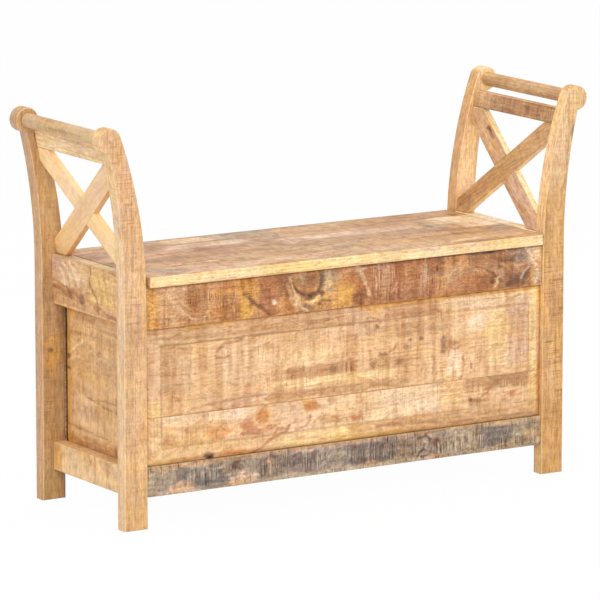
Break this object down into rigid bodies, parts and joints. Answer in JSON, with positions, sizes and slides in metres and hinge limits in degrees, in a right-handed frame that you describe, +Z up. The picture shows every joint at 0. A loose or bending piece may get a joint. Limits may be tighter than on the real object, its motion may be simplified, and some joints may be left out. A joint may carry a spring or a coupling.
{
  "type": "hall bench",
  "caption": "Wooden storage bench with a lift-up lid, raised panels, crossed arm braces and outward-curving legs that end in scrolls.",
  "frame": {"origin": "on the floor, at the middle of the bench", "axes": "+X to the right along the bench, +Y from the front to the back, +Z up"},
  "size_m": [1.03, 0.33, 0.7199],
  "materials": {
    "honey_legs": "satin oiled, sawn and worn",
    "pale_braces": "satin oiled, sawn and worn",
    "tan_boards": "satin oiled, sawn and worn",
    "rose_boards": "satin oiled, sawn and worn",
    "brown_rail": "satin oiled, sawn and worn",
    "grey_rail": "satin oiled, sawn and worn",
    "plain_boards": "satin oiled, sawn and worn",
    "steel_fittings": "satin"
  },
  "bodies": {
    "frame": {"leg_front_left": "honey_legs", "leg_front_right": "honey_legs", "leg_rear_left": "honey_legs", "leg_rear_right": "honey_legs", "arm_brace_front_high_left": "pale_braces", "arm_brace_front_high_right": "pale_braces", "arm_brace_rear_high_left": "pale_braces", "arm_brace_rear_high_right": "pale_braces", "arm_rod_left": "tan_boards", "arm_rod_right": "tan_boards", "arm_slat_left": "tan_boards", "arm_slat_right": "tan_boards", "side_top_rail_left": "tan_boards", "side_top_rail_right": "tan_boards", "side_bottom_rail_left": "tan_boards", "side_bottom_rail_right": "tan_boards", "side_panel_left": "tan_boards", "side_panel_right": "tan_boards", "front_panel_upper": "rose_boards", "front_panel_lower": "rose_boards", "front_top_rail": "brown_rail", "front_bottom_rail": "grey_rail", "rear_top_rail": "plain_boards", "rear_bottom_rail": "plain_boards", "rear_panel_lower": "plain_boards", "rear_panel_upper": "plain_boards", "floor_bearer_front": "plain_boards", "floor_bearer_rear": "plain_boards", "floor_board_1": "plain_boards", "floor_board_2": "plain_boards", "floor_board_3": "plain_boards", "corner_post_front_left": "plain_boards", "corner_post_front_right": "plain_boards", "corner_post_rear_left": "plain_boards", "corner_post_rear_right": "plain_boards", "hinge_frame_leaf_left": "steel_fittings", "hinge_frame_leaf_right": "steel_fittings", "hinge_pin_left": "steel_fittings", "hinge_pin_right": "steel_fittings", "hinge_frame_screw_1": "steel_fittings", "hinge_frame_screw_2": "steel_fittings", "hinge_frame_screw_3": "steel_fittings", "hinge_frame_screw_4": "steel_fittings"},
    "lid": {"lid_board_front": "rose_boards", "lid_board_middle": "rose_boards", "lid_board_rear": "rose_boards", "lid_batten_left": "plain_boards", "lid_batten_right": "plain_boards", "hinge_lid_leaf_left": "steel_fittings", "hinge_lid_leaf_right": "steel_fittings", "hinge_lid_screw_1": "steel_fittings", "hinge_lid_screw_2": "steel_fittings", "hinge_lid_screw_3": "steel_fittings", "hinge_lid_screw_4": "steel_fittings", "batten_screw_1": "steel_fittings", "batten_screw_2": "steel_fittings", "batten_screw_3": "steel_fittings", "batten_screw_4": "steel_fittings", "batten_screw_5": "steel_fittings", "batten_screw_6": "steel_fittings"}
  },
  "joints": [
    {"name": "lid_hinge", "type": "hinge", "parent": "frame", "child": "lid", "pos_m": [0, 0.161, 0.43075], "axis": [-1, 0, 0], "range_deg": [0, 95]}
  ]
}
